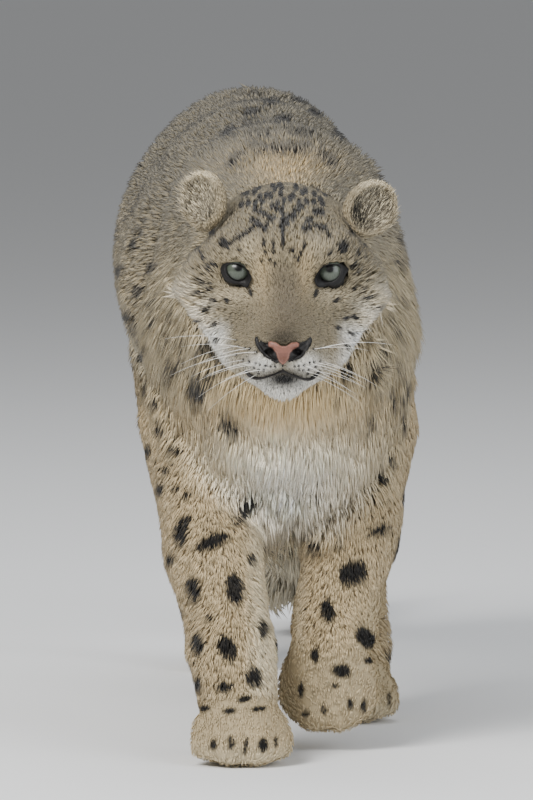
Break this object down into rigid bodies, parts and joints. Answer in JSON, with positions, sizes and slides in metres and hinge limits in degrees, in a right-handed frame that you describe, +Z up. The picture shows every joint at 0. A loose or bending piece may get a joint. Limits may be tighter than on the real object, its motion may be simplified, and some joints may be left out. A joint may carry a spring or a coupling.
{
  "type": "snow leopard",
  "caption": "Life-size snow leopard walking head-on with one forepaw lifted and its long tail trailing low behind, as a still museum model.",
  "frame": {"origin": "on the floor, under the middle of the whole animal's box", "axes": "the animal faces -Y, +X is its left side, +Z is up"},
  "size_m": [0.3188, 1.5116, 0.6323],
  "materials": {
    "coat": "matte fur",
    "pale_coat": "matte fur",
    "iris": "wet gloss",
    "nose_skin": "satin skin"
  },
  "bodies": {
    "root": {"head": "coat", "nose": "nose_skin", "eye_left": "iris", "eye_right": "iris", "ear_right": "coat", "ear_left": "coat", "neck": "coat", "torso": "coat", "leg_fore_right": "coat", "paw_fore_right": "pale_coat", "leg_fore_left": "coat", "paw_fore_left": "pale_coat", "leg_hind_right": "coat", "paw_hind_right": "pale_coat", "leg_hind_left": "coat", "paw_hind_left": "pale_coat", "tail_base": "coat", "tail_middle": "coat", "tail_tip": "coat"}
  },
  "joints": []
}
